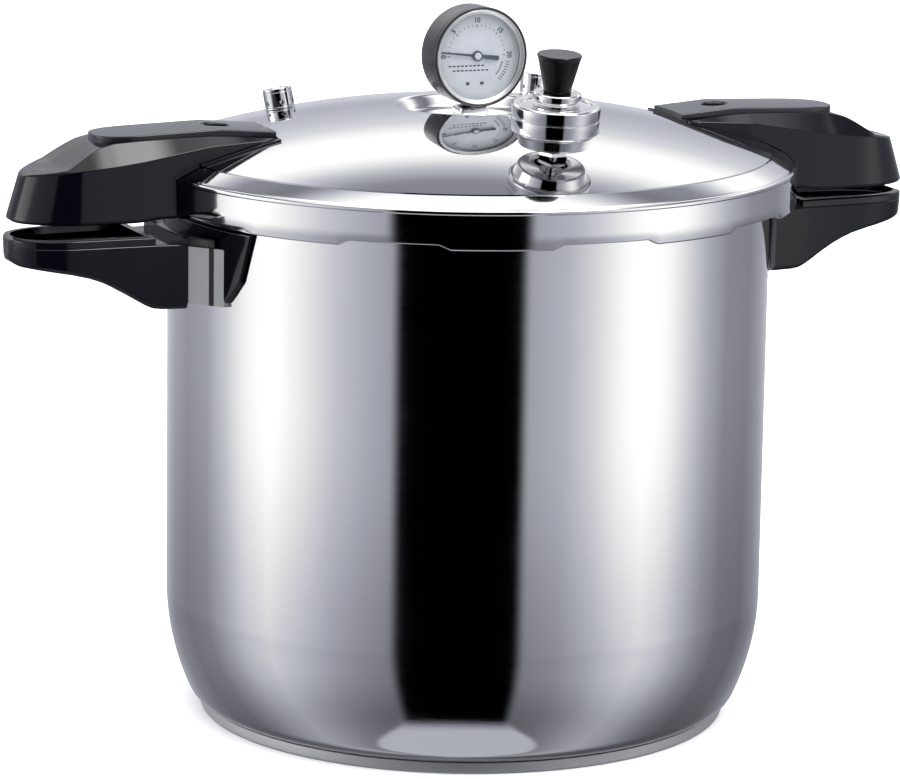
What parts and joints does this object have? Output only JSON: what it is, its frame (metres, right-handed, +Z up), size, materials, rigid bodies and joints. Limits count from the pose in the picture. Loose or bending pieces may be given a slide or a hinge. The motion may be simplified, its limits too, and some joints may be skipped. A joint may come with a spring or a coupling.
{
  "type": "pressure canner",
  "caption": "Tall stovetop pressure canner with a twist-lock domed lid, dial gauge, lift-off regulator weight, safety valves and paired side handles.",
  "frame": {"origin": "centre of the base's underside, where the canner stands on the stove", "axes": "+Z up along the pot's axis, X through the two pairs of handles, -Y the side that the dial gauge and the regulator weight face"},
  "size_m": [0.482, 0.3262, 0.3561],
  "materials": {
    "polished_steel": "polished stainless steel",
    "brushed_steel": "brushed stainless steel",
    "aluminium_core": "plain pressed aluminium",
    "black_phenolic": "glossy moulded phenolic",
    "fastener_steel": "plain machined steel",
    "seal_rubber": "moulded rubber",
    "gauge_black": "satin black enamel",
    "gauge_glass": "clear lens",
    "dial_white": null,
    "pointer_blue": "dark blue-grey enamel",
    "movement_brass": "machined brass",
    "knob_black": "satin black moulding"
  },
  "bodies": {
    "pot": {"pot_shell": "polished_steel", "pot_rim": "polished_steel", "base_spreader": "aluminium_core", "base_cap": "brushed_steel", "pot_bracket_right": "brushed_steel", "pot_bracket_left": "brushed_steel", "pot_spacer_right": "black_phenolic", "pot_spacer_left": "black_phenolic", "pot_ferrule_right": "brushed_steel", "pot_ferrule_left": "brushed_steel", "pot_collar_right": "black_phenolic", "pot_collar_left": "black_phenolic", "pot_grip_right": "black_phenolic", "pot_grip_left": "black_phenolic", "pot_screw_right": "fastener_steel", "pot_screw_left": "fastener_steel"},
    "rack": {"canning_rack": "aluminium_core"},
    "seal": {"sealing_gasket": "seal_rubber"},
    "lid": {"lid_shell": "polished_steel", "lid_grip_right": "black_phenolic", "lid_grip_left": "black_phenolic", "lid_stud_right": "fastener_steel", "lid_stud_left": "fastener_steel", "lid_screw_right": "fastener_steel", "lid_screw_left": "fastener_steel", "gauge_case": "gauge_black", "gauge_bezel": "polished_steel", "gauge_lens": "gauge_glass", "gauge_dial": "dial_white", "gauge_block": "movement_brass", "bourdon_tube": "movement_brass", "gauge_stem": "polished_steel", "gauge_washer": "seal_rubber", "gauge_nut": "fastener_steel", "vent_pipe": "polished_steel", "vent_nut": "polished_steel", "vent_washer": "seal_rubber", "valve_a_seat": "polished_steel", "valve_a_cap": "polished_steel", "valve_a_spring": "fastener_steel", "valve_a_washer": "seal_rubber", "valve_a_nut": "fastener_steel", "valve_b_seat": "polished_steel", "valve_b_cap": "polished_steel", "valve_b_spring": "fastener_steel", "valve_b_washer": "seal_rubber", "valve_b_nut": "fastener_steel"},
    "pointer": {"gauge_pointer": "pointer_blue", "gauge_pinion": "movement_brass"},
    "sector": {"gauge_sector": "movement_brass"},
    "weight": {"weight_body": "polished_steel", "weight_collar": "polished_steel", "weight_knob": "knob_black"},
    "poppet_a": {"valve_a_poppet": "seal_rubber"},
    "poppet_b": {"valve_b_poppet": "seal_rubber"}
  },
  "joints": [
    {"name": "lid_lift", "type": "slide", "parent": "pot", "child": "seal", "axis": [0, 0, 1], "range_m": [0, 0.16]},
    {"name": "lid_turn", "type": "hinge", "parent": "seal", "child": "lid", "pos_m": [0, 0, 0.27], "axis": [0, 0, 1], "range_deg": [0, 18]},
    {"name": "rack_lift", "type": "slide", "parent": "pot", "child": "rack", "axis": [0, 0, 1], "range_m": [0, 0.2]},
    {"name": "sector_swing", "type": "hinge", "parent": "lid", "child": "sector", "pos_m": [0, 0, 0.3208], "axis": [0, 1, 0], "range_deg": [-30, 0], "stiffness_Nm_per_rad": 0.0004, "springref_deg": 5.73},
    {"name": "pointer_turn", "type": "hinge", "parent": "lid", "child": "pointer", "pos_m": [0, 0, 0.3313], "axis": [0, 1, 0], "range_deg": [0, 180]},
    {"name": "weight_lift", "type": "slide", "parent": "lid", "child": "weight", "axis": [0, -0.1045, 0.9945], "range_m": [0, 0.03]},
    {"name": "poppet_a_lift", "type": "slide", "parent": "lid", "child": "poppet_a", "axis": [-0.1448, 0.136, 0.9801], "range_m": [0, 0.0012], "stiffness_N_per_m": 400, "springref_m": -0.002, "deforming": ["valve_a_spring"]},
    {"name": "poppet_b_lift", "type": "slide", "parent": "lid", "child": "poppet_b", "axis": [0.1125, 0.0978, 0.9888], "range_m": [0, 0.0012], "stiffness_N_per_m": 400, "springref_m": -0.002, "deforming": ["valve_b_spring"]}
  ],
  "couplings": [
    {"joint": "pointer_turn", "follows": "sector_swing", "ratio": -6}
  ]
}
